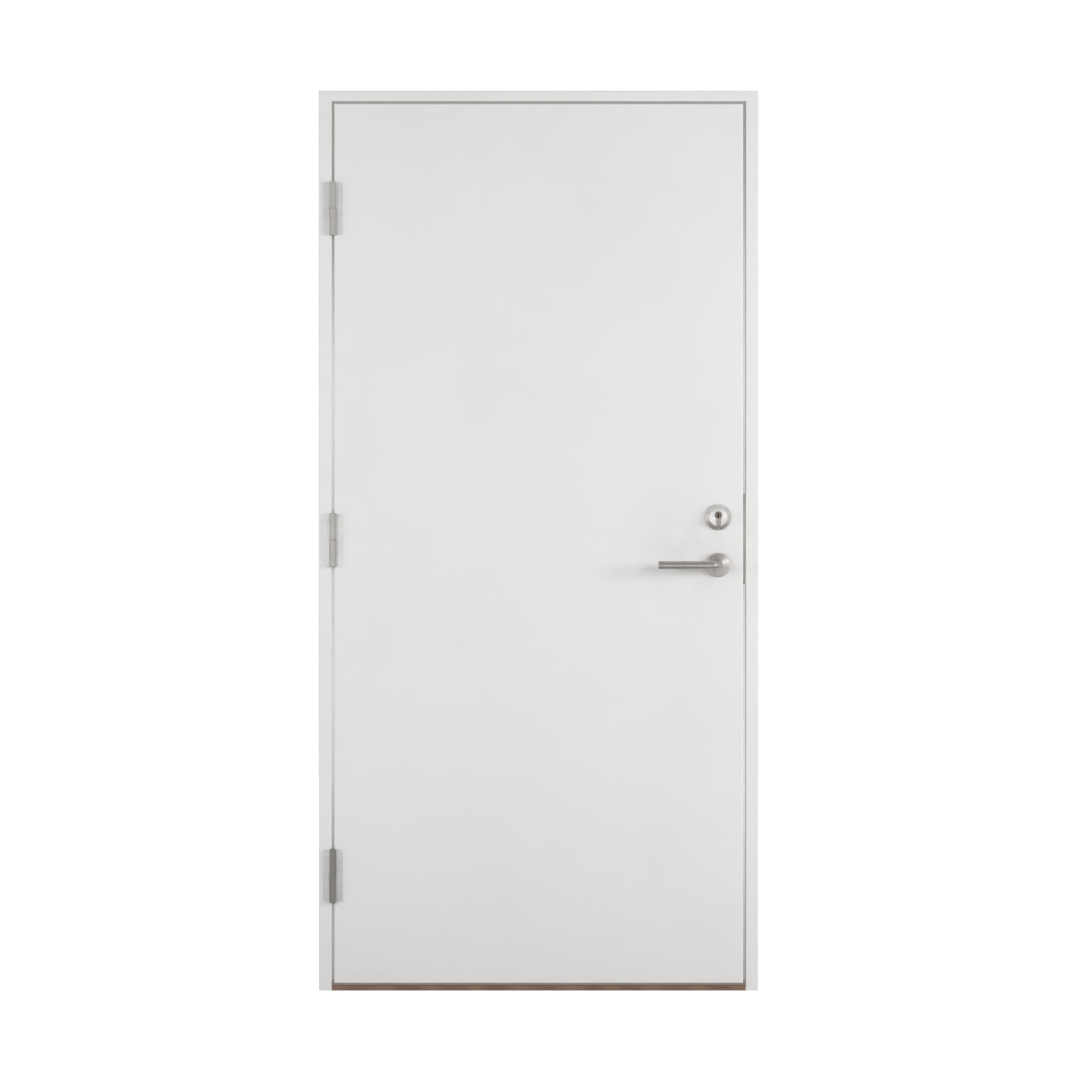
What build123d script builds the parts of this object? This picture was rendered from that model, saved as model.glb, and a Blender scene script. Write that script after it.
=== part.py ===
from build123d import *
import math
import os

# White flush acoustic doorset: a rebated frame with a hardwood threshold, a thick leaf on three
# lift-off hinges, and a mortise lock with lever handles and a profile cylinder.
# X runs along the wall from the outer face of the hinge jamb, Y runs through the wall away from
# the pull side, and Z runs up from the floor. Every size is in millimetres.

# Frame members
FRAME_WIDTH = 990.0
FRAME_HEIGHT = 2025.0
FRAME_DEPTH = 105.0
JAMB_FACE = 29.5
HEAD_FACE = 24.0
THRESHOLD_FRONT = 11.0
STOP_LAP = 13.5
ARRIS = 3.0
RAMP_DEPTH = 14.0
RAMP_DROP = 8.0

# Leaf
LEAF_THICKNESS = 62.0
HINGE_GAP = 5.0
LOCK_GAP = 5.2
HEAD_GAP = 5.0
THRESHOLD_GAP = 5.0
SKIN = 6.0
LIPPING = 22.0
LEAF_ARRIS = 3.0
EDGE_BEVEL_DEGREES = 3.0

# Bulb seal in the stops
SEAL_ROOM = 5.0
SEAL_INSET = 7.0
SEAL_CLEARANCE = 0.3
GROOVE_WIDTH = 3.4
GROOVE_DEPTH = 5.5
STEM_CLEARANCE = 0.2
BULB_WIDTH = 10.0
BULB_FLANK = 0.8
BULB_WALL = 1.0

# Lift-off hinges
BOTTOM_HINGE_ABOVE_LEAF_BOTTOM = 243.0
MIDDLE_HINGE_ABOVE_LEAF_BOTTOM = 998.0
TOP_HINGE_BELOW_LEAF_TOP = 237.0
HINGE_PLATE_HEIGHT = 117.0
HINGE_PLATE = 3.0
HINGE_REACH = 22.0
HINGE_LEG = 34.0
HINGE_CORNER = 5.0
KNUCKLE_RADIUS = 7.0
KNUCKLE_OVERRUN = 2.0
KNUCKLE_CHAMFER = 1.2
KNUCKLE_FACE_CLEARANCE = 0.3
WEB_FOOT = 9.0
PIN_RADIUS = 4.0
PIN_REACH = 50.0
PIN_CLEARANCE = 0.05
COLLAR = 1.2
RUNNING_GAP = 0.3

# Lock
LEVER_HEIGHT = 958.0
BACKSET = 56.8
FOREND_HEIGHT = 235.0
FOREND_WIDTH = 22.0
FOREND = 3.0
FOREND_ABOVE_LEVER = 58.0
CASE_THICKNESS = 15.0
CASE_BEHIND_AXIS = 26.0
CASE_BELOW_LEVER = 45.0
CASE_ABOVE_CYLINDER = 25.0
LATCH_ABOVE_LEVER = 17.0
LATCH_HEIGHT = 24.0
BOLT_ABOVE_LEVER = 80.0
BOLT_HEIGHT = 34.0
BOLT_WIDTH = 12.0
BOLT_LENGTH = 26.0
SPINDLE = 8.0
FOLLOWER_RADIUS = 6.0
SPINDLE_BORE_RADIUS = 11.0

# Profile cylinder and its rings
CYLINDER_ABOVE_LEVER = 111.5
PROFILE_RADIUS = 8.5
PROFILE_FOOT_WIDTH = 10.0
PROFILE_HEIGHT = 33.0
RING_RADIUS = 29.0
RING_PROJECTION = 12.0
RING_TAPER_DEPTH = 8.5
RING_TAPER_WIDTH = 9.0
RING_BELOW_PLUG = 4.5
RING_CLEARANCE = 0.3
CYLINDER_RECESS = 3.0
CYLINDER_BORE_RADIUS = 22.0
PLUG_RADIUS = 7.0
PLUG_LENGTH = 30.0
PLUG_CLEARANCE = 0.05
KEYWAY_WIDTH = 2.4
KEYWAY_HEIGHT = 9.0
KEYWAY_DEPTH = 24.0

# Lever handles and roses
ROSE_RADIUS = 27.0
ROSE_THICKNESS = 9.0
ROSE_CHAMFER = 2.0
NECK_CLEARANCE = 0.3
NECK_START = 5.0
GRIP_RADIUS = 8.8
GRIP_STANDOFF = 52.0
GRIP_REACH = 136.5
GRIP_BEND = 14.0
GRIP_END_CHAMFER = 1.2
SOCKET_DEPTH = 20.0

# Strike plate and its pockets
STRIKE_HEIGHT = 203.0
STRIKE_DEPTH = 44.5
STRIKE = 3.0
STRIKE_CORNER = 6.0
POCKET_MARGIN = 3.0
POCKET_DEPTH = 18.0

# Fixing sleeves through the jambs
HINGE_JAMB_FIXINGS_ABOVE_FLOOR = (120.0, 640.0)
HINGE_JAMB_FIXINGS_BELOW_TOP = (635.0, 135.0)
LOCK_JAMB_FIXING_ABOVE_FLOOR = 150.0
LOCK_JAMB_FIXING_BELOW_STRIKE = 214.5
LOCK_JAMB_FIXING_ABOVE_STRIKE = 182.5
LOCK_JAMB_FIXING_BELOW_TOP = 165.0
SLEEVE_BORE_RADIUS = 4.5
SLEEVE_RADIUS = 7.0
SLEEVE_FLANGE_RADIUS = 10.0
SLEEVE_FLANGE = 2.5
SLEEVE_SINK = 0.5

# Planes and edges that the pieces share
FRONT_Y = -FRAME_DEPTH / 2
BACK_Y = FRAME_DEPTH / 2
LEAF_BACK_Y = FRONT_Y + LEAF_THICKNESS
LEAF_MIDDLE_Y = FRONT_Y + LEAF_THICKNESS / 2
STOP_Y = LEAF_BACK_Y + SEAL_ROOM
LOCK_JAMB_X = FRAME_WIDTH - JAMB_FACE
LEAF_LEFT = JAMB_FACE + HINGE_GAP
LEAF_RIGHT = LOCK_JAMB_X - LOCK_GAP
LEAF_BOTTOM = THRESHOLD_FRONT + THRESHOLD_GAP
LEAF_TOP = FRAME_HEIGHT - HEAD_FACE - HEAD_GAP
HINGE_STOP_REACH = LEAF_LEFT + STOP_LAP
LOCK_STOP_REACH = JAMB_FACE + LOCK_GAP + STOP_LAP
HEAD_STOP_REACH = HEAD_FACE + HEAD_GAP + STOP_LAP
THRESHOLD_STOP_HEIGHT = LEAF_BOTTOM + STOP_LAP
EDGE_SLOPE = math.tan(math.radians(EDGE_BEVEL_DEGREES))
HINGE_HEIGHTS = {
    "bottom": LEAF_BOTTOM + BOTTOM_HINGE_ABOVE_LEAF_BOTTOM,
    "middle": LEAF_BOTTOM + MIDDLE_HINGE_ABOVE_LEAF_BOTTOM,
    "top": LEAF_TOP - TOP_HINGE_BELOW_LEAF_TOP,
}
HINGE_X = JAMB_FACE + HINGE_GAP / 2
HINGE_Y = FRONT_Y - KNUCKLE_RADIUS - KNUCKLE_FACE_CLEARANCE
LOCK_X = LEAF_RIGHT - BACKSET
PLUG_HEIGHT = LEVER_HEIGHT + CYLINDER_ABOVE_LEVER
FOREND_CENTRE = LEVER_HEIGHT + FOREND_ABOVE_LEVER
STRIKE_LOW = FOREND_CENTRE - STRIKE_HEIGHT / 2
STRIKE_HIGH = FOREND_CENTRE + STRIKE_HEIGHT / 2
HINGE_JAMB_FIXINGS = [
    *HINGE_JAMB_FIXINGS_ABOVE_FLOOR,
    *(FRAME_HEIGHT - below for below in HINGE_JAMB_FIXINGS_BELOW_TOP),
]
LOCK_JAMB_FIXINGS = [
    LOCK_JAMB_FIXING_ABOVE_FLOOR,
    STRIKE_LOW - LOCK_JAMB_FIXING_BELOW_STRIKE,
    STRIKE_HIGH + LOCK_JAMB_FIXING_ABOVE_STRIKE,
    FRAME_HEIGHT - LOCK_JAMB_FIXING_BELOW_TOP,
]

# Frames for sections: across the member, then through the wall
HEAD_SECTION = Plane(origin=(JAMB_FACE, 0, FRAME_HEIGHT), x_dir=(0, 0, -1), z_dir=(1, 0, 0))
THRESHOLD_SECTION = Plane(origin=(LOCK_JAMB_X, 0, 0), x_dir=(0, 0, 1), z_dir=(-1, 0, 0))

# The leaf's bevelled lock edge at the lock's height, with its normal pointing out
EDGE_ANGLE = math.radians(EDGE_BEVEL_DEGREES)
LOCK_EDGE = Plane(
    origin=(LEAF_RIGHT - EDGE_SLOPE * LEAF_THICKNESS / 2, LEAF_MIDDLE_Y, FOREND_CENTRE),
    x_dir=(-math.sin(EDGE_ANGLE), math.cos(EDGE_ANGLE), 0),
    z_dir=(math.cos(EDGE_ANGLE), math.sin(EDGE_ANGLE), 0),
)


def block(x, y, z):
    """Box between a low and a high value on each axis."""
    low, high = zip(x, y, z)
    sizes = [b - a for a, b in zip(low, high)]
    return Pos(*low) * Box(*sizes, align=(Align.MIN, Align.MIN, Align.MIN))


def rod(radius, x, z, y):
    """Round bar along Y between a low and a high value."""
    length = y[1] - y[0]
    return Pos(x, y[0] + length / 2, z) * Rot(90, 0, 0) * Cylinder(radius, length)


def cross_rod(radius, y, z, x):
    """Round bar along X between a low and a high value."""
    length = x[1] - x[0]
    return Pos(x[0] + length / 2, y, z) * Rot(0, 90, 0) * Cylinder(radius, length)


def outline(points):
    """Flat face inside a closed run of straight lines."""
    return make_face(Polyline(*points, close=True))


# Frame


def member_section(face, reach, rounded_outside=True):
    """Rebated section of a frame member: its face beside the leaf, then the stop behind it."""
    corners = [
        (0, FRONT_Y),
        (face, FRONT_Y),
        (face, STOP_Y),
        (reach, STOP_Y),
        (reach, BACK_Y),
        (0, BACK_Y),
    ]
    rounded = [corners[1], corners[3], corners[4]]
    if rounded_outside:
        rounded.append(corners[0])
    section = outline(corners)
    arrises = section.vertices().filter_by(
        lambda vertex: min(math.dist((vertex.X, vertex.Y), corner) for corner in rounded) < ARRIS / 10
    )
    return fillet(arrises, ARRIS)


def jamb(reach):
    """Jamb on the hinge side, with its corners left square where the head and threshold meet it."""
    piece = extrude(member_section(JAMB_FACE, reach), FRAME_HEIGHT)
    meetings = [
        (JAMB_FACE, FRONT_Y, THRESHOLD_FRONT, HEAD_FACE),
        (reach, STOP_Y, THRESHOLD_STOP_HEIGHT, HEAD_STOP_REACH),
        (reach, BACK_Y - ARRIS, THRESHOLD_STOP_HEIGHT - RAMP_DROP, HEAD_STOP_REACH),
    ]
    for across, front, threshold_top, head_reach in meetings:
        corner_x = (across - ARRIS, across)
        corner_y = (front, front + ARRIS)
        piece += block(corner_x, corner_y, (0, threshold_top - ARRIS))
        piece += block(corner_x, corner_y, (FRAME_HEIGHT - head_reach + ARRIS, FRAME_HEIGHT))
    return piece


def seal_corners(offset):
    """Corners of the seal's centre line, moved outwards by an offset, as X and Z."""
    left = LEAF_LEFT + SEAL_INSET - offset
    right = LEAF_RIGHT - SEAL_INSET + offset
    low = LEAF_BOTTOM + SEAL_INSET - offset
    high = LEAF_TOP - SEAL_INSET + offset
    return [(left, low), (right, low), (right, high), (left, high)]


def seal_groove():
    """Square groove in the stops, all the way round the opening."""
    rings = []
    for offset in (GROOVE_WIDTH / 2, -GROOVE_WIDTH / 2):
        (left, low), _, (right, high), _ = seal_corners(offset)
        rings.append(block((left, right), (STOP_Y, STOP_Y + GROOVE_DEPTH), (low, high)))
    return rings[0] - rings[1]


def fixing_sleeves(heights):
    """Flanged steel sleeves through the hinge jamb, and the wood cut away for them."""
    sleeves, cuts = [], []
    mouth_x = (JAMB_FACE - SLEEVE_SINK - SLEEVE_FLANGE, JAMB_FACE)
    flange_x = (mouth_x[0], JAMB_FACE - SLEEVE_SINK)
    through = (0, flange_x[1])
    for height in heights:
        shank = cross_rod(SLEEVE_RADIUS, LEAF_MIDDLE_Y, height, through)
        flange = cross_rod(SLEEVE_FLANGE_RADIUS, LEAF_MIDDLE_Y, height, flange_x)
        mouth = cross_rod(SLEEVE_FLANGE_RADIUS, LEAF_MIDDLE_Y, height, mouth_x)
        bore = cross_rod(SLEEVE_BORE_RADIUS, LEAF_MIDDLE_Y, height, through)
        sleeves.append(shank + flange - bore)
        cuts.append(shank + mouth)
    return sleeves, cuts


def to_lock_side(piece):
    """Mirror a piece from the hinge jamb to the lock jamb."""
    return Pos(FRAME_WIDTH, 0, 0) * mirror(piece, about=Plane.YZ)


def strike_plate():
    """Flat plate in the lock jamb's rebate, with its front edge at the frame's face."""
    plate = block(
        (LOCK_JAMB_X, LOCK_JAMB_X + STRIKE), (FRONT_Y, FRONT_Y + STRIKE_DEPTH), (STRIKE_LOW, STRIKE_HIGH)
    )
    back_corners = plate.edges().filter_by(Axis.X).group_by(Axis.Y)[-1]
    return fillet(back_corners, STRIKE_CORNER)


def strike_pockets():
    """Pockets for the latch and the deadbolt, through the strike and into the jamb."""
    pockets = []
    half_width = BOLT_WIDTH / 2 + POCKET_MARGIN
    for above_lever, bolt_height in ((LATCH_ABOVE_LEVER, LATCH_HEIGHT), (BOLT_ABOVE_LEVER, BOLT_HEIGHT)):
        centre = LEVER_HEIGHT + above_lever
        half_height = bolt_height / 2 + POCKET_MARGIN
        pockets.append(
            block(
                (LOCK_JAMB_X, LOCK_JAMB_X + POCKET_DEPTH),
                (LEAF_MIDDLE_Y - half_width, LEAF_MIDDLE_Y + half_width),
                (centre - half_height, centre + half_height),
            )
        )
    return pockets


def frame_members():
    """The two jambs, the head between them and the threshold, before hinges are let in."""
    hinge_jamb = jamb(HINGE_STOP_REACH)
    lock_jamb = to_lock_side(jamb(LOCK_STOP_REACH))
    between = LOCK_JAMB_X - JAMB_FACE
    head = extrude(HEAD_SECTION * member_section(HEAD_FACE, HEAD_STOP_REACH), between)
    section = member_section(THRESHOLD_FRONT, THRESHOLD_STOP_HEIGHT, rounded_outside=False)
    threshold = extrude(THRESHOLD_SECTION * section, between)
    ramp = outline(
        [
            (THRESHOLD_STOP_HEIGHT, BACK_Y - RAMP_DEPTH),
            (THRESHOLD_STOP_HEIGHT, BACK_Y),
            (THRESHOLD_STOP_HEIGHT - RAMP_DROP, BACK_Y),
        ]
    )
    threshold -= extrude(THRESHOLD_SECTION * ramp, between)
    stop_depth = (STOP_Y, BACK_Y)
    all_heights = (0, FRAME_HEIGHT)
    for side in ((0, HINGE_STOP_REACH), (FRAME_WIDTH - LOCK_STOP_REACH, FRAME_WIDTH)):
        jamb_stop = block(side, stop_depth, all_heights)
        head -= jamb_stop
        threshold -= jamb_stop
    groove = seal_groove()
    return {
        "hinge_jamb": hinge_jamb - groove,
        "lock_jamb": lock_jamb - groove,
        "head": head - groove,
        "threshold": threshold - groove,
    }


def seal_section():
    """Bulb seal across its length: a stem in the groove and a hollow bulb towards the leaf."""
    half_stem = GROOVE_WIDTH / 2 - STEM_CLEARANCE
    stem = outline(
        [(-half_stem, 0), (half_stem, 0), (half_stem, GROOVE_DEPTH), (-half_stem, GROOVE_DEPTH)]
    )
    crown = SEAL_ROOM - SEAL_CLEARANCE
    half = BULB_WIDTH / 2
    shell = make_face(
        [
            Polyline((-half, -BULB_FLANK), (-half, 0), (half, 0), (half, -BULB_FLANK)),
            ThreePointArc((half, -BULB_FLANK), (0, -crown), (-half, -BULB_FLANK)),
        ]
    )
    half_inside = half - BULB_WALL
    foot = -BULB_FLANK - BULB_WALL / 2
    hollow = make_face(
        [
            Line((-half_inside, foot), (half_inside, foot)),
            ThreePointArc((half_inside, foot), (0, BULB_WALL - crown), (-half_inside, foot)),
        ]
    )
    return shell + stem - hollow


def frame_seals():
    """Four lengths of bulb seal, mitred where they meet."""
    names = ["threshold_seal", "lock_side_seal", "head_seal", "hinge_side_seal"]
    outer, centre, inner = (seal_corners(offset) for offset in (BULB_WIDTH, 0, -BULB_WIDTH))
    wall = Plane.XZ.offset(-BACK_Y)
    seals = {}
    for i, name in enumerate(names):
        j = (i + 1) % len(names)
        mitres = extrude(wall * outline([outer[i], outer[j], inner[j], inner[i]]), FRAME_DEPTH)
        upright = name in ("lock_side_seal", "hinge_side_seal")
        if upright:
            foot = (centre[i][0], STOP_Y, min(outer[i][1], outer[j][1]))
            start = Plane(origin=foot, x_dir=(1, 0, 0), z_dir=(0, 0, 1))
        else:
            far_end = (max(outer[i][0], outer[j][0]), STOP_Y, centre[i][1])
            start = Plane(origin=far_end, x_dir=(0, 0, 1), z_dir=(-1, 0, 0))
        seals[name] = extrude(start * seal_section(), math.dist(outer[i], outer[j])) & mitres
    return seals


# Hinges


def hinge_half(knuckle_start, bore_radius):
    """Frame half of a hinge about its own axis: a folded plate with a knuckle below the middle."""
    half_gap = HINGE_GAP / 2
    face = KNUCKLE_RADIUS + KNUCKLE_FACE_CLEARANCE
    half_height = HINGE_PLATE_HEIGHT / 2
    upright = (-half_height, half_height)
    flange = block((-HINGE_REACH, -half_gap), (face, face + HINGE_PLATE), upright)
    flange = fillet(flange.edges().filter_by(Axis.Y).group_by(Axis.X)[0], HINGE_CORNER)
    leg = block((-half_gap - HINGE_PLATE, -half_gap), (face, face + HINGE_LEG), upright)
    leg = fillet(leg.edges().filter_by(Axis.X).group_by(Axis.Y)[-1], HINGE_CORNER)
    web_plan = outline([(-WEB_FOOT, face), (-half_gap, face), (-half_gap, 0), (-KNUCKLE_RADIUS, 0)])
    web = Pos(0, 0, -half_height) * extrude(web_plan, half_height - knuckle_start)
    length = half_height + KNUCKLE_OVERRUN - knuckle_start
    knuckle = Pos(0, 0, -knuckle_start - length / 2) * Cylinder(KNUCKLE_RADIUS, length)
    knuckle = chamfer(knuckle.edges().group_by(Axis.Z)[0], KNUCKLE_CHAMFER)
    bore = Pos(0, 0, -PIN_REACH / 2) * Cylinder(bore_radius, PIN_REACH)
    return flange + leg + web + knuckle - bore


def hinge_pin():
    """Pin with the collar that the leaf's knuckle rides on."""
    pin = Cylinder(PIN_RADIUS, 2 * PIN_REACH - RUNNING_GAP)
    pin = Pos(0, 0, -RUNNING_GAP / 2) * chamfer(pin.edges().group_by(Axis.Z)[-1], PIN_RADIUS / 4)
    return pin + Cylinder(KNUCKLE_RADIUS, COLLAR)


def hinges():
    """Both halves and the pin of each lift-off hinge."""
    frame_half = hinge_half(COLLAR / 2, PIN_RADIUS + PIN_CLEARANCE)
    leaf_half = Rot(0, 180, 0) * hinge_half(COLLAR / 2 + RUNNING_GAP, PIN_RADIUS + PIN_CLEARANCE)
    pieces = {}
    for place, height in HINGE_HEIGHTS.items():
        at = Pos(HINGE_X, HINGE_Y, height)
        pieces[f"frame_hinge_{place}"] = at * frame_half
        pieces[f"hinge_pin_{place}"] = at * hinge_pin()
        pieces[f"leaf_hinge_{place}"] = at * leaf_half
    return pieces


# Leaf


def leaf_envelope():
    """Whole leaf with its bevelled lock edge and softened front and back edges."""
    back_right = LEAF_RIGHT - EDGE_SLOPE * LEAF_THICKNESS
    plan = outline(
        [(LEAF_LEFT, FRONT_Y), (LEAF_RIGHT, FRONT_Y), (back_right, LEAF_BACK_Y), (LEAF_LEFT, LEAF_BACK_Y)]
    )
    leaf = Pos(0, 0, LEAF_BOTTOM) * extrude(plan, LEAF_TOP - LEAF_BOTTOM)
    faces = leaf.faces().sort_by(Axis.Y)
    return fillet(faces[0].edges() + faces[-1].edges(), LEAF_ARRIS)


def leaf_pieces():
    """Core, skins and lippings, which together fill the leaf."""
    leaf = leaf_envelope()
    width = (LEAF_LEFT, LEAF_RIGHT)
    height = (LEAF_BOTTOM, LEAF_TOP)
    front = (FRONT_Y, FRONT_Y + SKIN)
    back = (LEAF_BACK_Y - SKIN, LEAF_BACK_Y)
    inside = (front[1], back[0])
    core_x = (LEAF_LEFT + LIPPING, LEAF_RIGHT - LIPPING)
    core_z = (LEAF_BOTTOM + LIPPING, LEAF_TOP - LIPPING)
    return {
        "front_skin": leaf & block(width, front, height),
        "back_skin": leaf & block(width, back, height),
        "hinge_edge_lipping": leaf & block((LEAF_LEFT, core_x[0]), inside, height),
        "lock_edge_lipping": leaf & block((core_x[1], LEAF_RIGHT), inside, height),
        "top_lipping": block(core_x, inside, (core_z[1], LEAF_TOP)),
        "bottom_lipping": block(core_x, inside, (LEAF_BOTTOM, core_z[0])),
        "leaf_core": block(core_x, inside, core_z),
    }


# Lock


def bolt(height, above_lever):
    """Bolt drawn in until it is flush with the forend."""
    body = Box(BOLT_WIDTH, height, BOLT_LENGTH, align=(Align.CENTER, Align.CENTER, Align.MAX))
    return LOCK_EDGE * Pos(0, above_lever - FOREND_ABOVE_LEVER, 0) * body


def cylinder_profile(clearance, y):
    """Profile cylinder's outer shape along Y, made larger all round by a clearance."""
    foot_radius = PROFILE_FOOT_WIDTH / 2
    foot_centre = PLUG_HEIGHT + PROFILE_RADIUS - PROFILE_HEIGHT + foot_radius
    half_foot = foot_radius + clearance
    head = rod(PROFILE_RADIUS + clearance, LOCK_X, PLUG_HEIGHT, y)
    neck = block((LOCK_X - half_foot, LOCK_X + half_foot), y, (foot_centre, PLUG_HEIGHT))
    return head + neck + rod(half_foot, LOCK_X, foot_centre, y)


def keyway(y):
    """Upright slot for the key, through the middle of the plug."""
    half_width = KEYWAY_WIDTH / 2
    half_height = KEYWAY_HEIGHT / 2
    across = (LOCK_X - half_width, LOCK_X + half_width)
    return block(across, y, (PLUG_HEIGHT - half_height, PLUG_HEIGHT + half_height))


def lock_pieces():
    """Lock case with its forend, the two bolts, and the cylinder with its turning plug."""
    forend = LOCK_EDGE * Box(
        FOREND_WIDTH, FOREND_HEIGHT, FOREND, align=(Align.CENTER, Align.CENTER, Align.MAX)
    )
    half_case = CASE_THICKNESS / 2
    case_end = LEAF_RIGHT - EDGE_SLOPE * (LEAF_THICKNESS / 2 + half_case) - FOREND / 2
    case = block(
        (LOCK_X - CASE_BEHIND_AXIS, case_end),
        (LEAF_MIDDLE_Y - half_case, LEAF_MIDDLE_Y + half_case),
        (LEVER_HEIGHT - CASE_BELOW_LEVER, PLUG_HEIGHT + CASE_ABOVE_CYLINDER),
    )
    whole = forend + case
    latch = bolt(LATCH_HEIGHT, LATCH_ABOVE_LEVER)
    deadbolt = bolt(BOLT_HEIGHT, BOLT_ABOVE_LEVER)
    proud = RING_PROJECTION - CYLINDER_RECESS
    through = (FRONT_Y - proud, LEAF_BACK_Y + proud)
    cylinder = cylinder_profile(0, through)
    follower = rod(FOLLOWER_RADIUS, LOCK_X, LEVER_HEIGHT, (FRONT_Y, LEAF_BACK_Y))
    plug_end = through[0] + PLUG_LENGTH
    plug_bore = rod(PLUG_RADIUS + PLUG_CLEARANCE, LOCK_X, PLUG_HEIGHT, (through[0], plug_end + RUNNING_GAP))
    plug = rod(PLUG_RADIUS, LOCK_X, PLUG_HEIGHT, (through[0], plug_end))
    pieces = {
        "lock_case": whole - latch - deadbolt - follower - cylinder,
        "latch_bolt": latch,
        "deadbolt": deadbolt,
        "lock_cylinder": cylinder - plug_bore - keyway((through[1] - KEYWAY_DEPTH, through[1])),
        "key_plug": plug - keyway((through[0], through[0] + KEYWAY_DEPTH)),
    }
    return pieces, whole


def leaf_bores():
    """Holes through the leaf for the spindle and the cylinder."""
    through = (FRONT_Y, LEAF_BACK_Y)
    spindle = rod(SPINDLE_BORE_RADIUS, LOCK_X, LEVER_HEIGHT, through)
    cylinder = rod(CYLINDER_BORE_RADIUS, LOCK_X, PLUG_HEIGHT - RING_BELOW_PLUG, through)
    return spindle + cylinder


def to_back(piece):
    """Mirror a piece from the leaf's front to its back."""
    return Pos(0, 2 * LEAF_MIDDLE_Y, 0) * mirror(piece, about=Plane.XZ)


def rose():
    """Round rose that the lever's neck turns in."""
    depth = (FRONT_Y - ROSE_THICKNESS, FRONT_Y)
    disc = rod(ROSE_RADIUS, LOCK_X, LEVER_HEIGHT, depth)
    disc = chamfer(disc.edges().group_by(Axis.Y)[0], ROSE_CHAMFER)
    return disc - rod(GRIP_RADIUS + NECK_CLEARANCE, LOCK_X, LEVER_HEIGHT, depth)


def cylinder_ring():
    """Tapered ring around the profile cylinder."""
    depth = (FRONT_Y - RING_PROJECTION, FRONT_Y)
    ring = rod(RING_RADIUS, LOCK_X, PLUG_HEIGHT - RING_BELOW_PLUG, depth)
    front = ring.faces().sort_by(Axis.Y)[0]
    ring = chamfer(front.edges(), RING_TAPER_WIDTH, RING_TAPER_DEPTH, reference=front)
    return ring - cylinder_profile(RING_CLEARANCE, depth)


def lever():
    """Round-bar lever: a neck out of the rose, a bend, and a grip towards the hinges."""
    grip_y = FRONT_Y - GRIP_STANDOFF
    neck_y = FRONT_Y - NECK_START
    route = FilletPolyline(
        (LOCK_X, neck_y, LEVER_HEIGHT),
        (LOCK_X, grip_y, LEVER_HEIGHT),
        (LOCK_X - GRIP_REACH, grip_y, LEVER_HEIGHT),
        radius=GRIP_BEND,
    )
    start = Plane(origin=(LOCK_X, neck_y, LEVER_HEIGHT), z_dir=(0, -1, 0))
    bar = sweep(start * Circle(GRIP_RADIUS), path=route)
    bar = chamfer(bar.edges().group_by(Axis.X)[0], GRIP_END_CHAMFER)
    return bar - spindle_bar(neck_y - SOCKET_DEPTH, neck_y)


def spindle_bar(low, high):
    """Square bar on the lever's axis."""
    half = SPINDLE / 2
    return block((LOCK_X - half, LOCK_X + half), (low, high), (LEVER_HEIGHT - half, LEVER_HEIGHT + half))


def lever_pieces():
    """Roses, levers and the spindle that joins them."""
    reach = NECK_START + SOCKET_DEPTH
    return {
        "front_rose": rose(),
        "back_rose": to_back(rose()),
        "front_lever": lever(),
        "back_lever": to_back(lever()),
        "lever_spindle": spindle_bar(FRONT_Y - reach, LEAF_BACK_Y + reach),
        "front_cylinder_ring": cylinder_ring(),
        "back_cylinder_ring": to_back(cylinder_ring()),
    }


# Whole doorset


def doorset():
    """Every piece by name, each cut to fit its neighbours."""
    frame = frame_members()
    hinge_set = hinges()
    leaf = leaf_pieces()
    lock, lock_outside = lock_pieces()
    strike = strike_plate()

    for place in HINGE_HEIGHTS:
        frame["hinge_jamb"] -= hinge_set[f"frame_hinge_{place}"]
        for name in ("front_skin", "hinge_edge_lipping"):
            leaf[name] -= hinge_set[f"leaf_hinge_{place}"]

    sleeves, sleeve_cuts = fixing_sleeves(HINGE_JAMB_FIXINGS)
    for cut in sleeve_cuts:
        frame["hinge_jamb"] -= cut
    far_sleeves, far_cuts = fixing_sleeves(LOCK_JAMB_FIXINGS)
    far_sleeves = [to_lock_side(sleeve) for sleeve in far_sleeves]
    for cut in far_cuts:
        frame["lock_jamb"] -= to_lock_side(cut)

    frame["lock_jamb"] -= strike
    for pocket in strike_pockets():
        frame["lock_jamb"] -= pocket
        strike -= pocket

    bores = leaf_bores()
    for name in ("front_skin", "back_skin", "lock_edge_lipping", "leaf_core"):
        leaf[name] = leaf[name] - lock_outside - bores

    return {
        **frame,
        **frame_seals(),
        "strike_plate": strike,
        "hinge_jamb_sleeves": Compound(children=sleeves),
        "lock_jamb_sleeves": Compound(children=far_sleeves),
        **hinge_set,
        **leaf,
        **lock,
        **lever_pieces(),
    }


os.makedirs("parts", exist_ok=True)
for node, shape in doorset().items():
    export_step(shape, f"parts/{node}.step")
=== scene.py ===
"""Finishes, small fittings, light and camera for a white flush acoustic doorset.

Lengths are in metres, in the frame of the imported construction: X runs along the wall from the
hinge jamb, Y runs through the wall away from the viewer, and Z runs up from the floor.
"""

import logging
import math
from dataclasses import dataclass
from enum import Enum
from functools import cache

import bmesh
import bpy
from bpy.types import Material, Node, NodeInputs, NodeOutputs, NodeSocket, NodeTree, Object
from mathutils import Matrix, Vector


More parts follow.
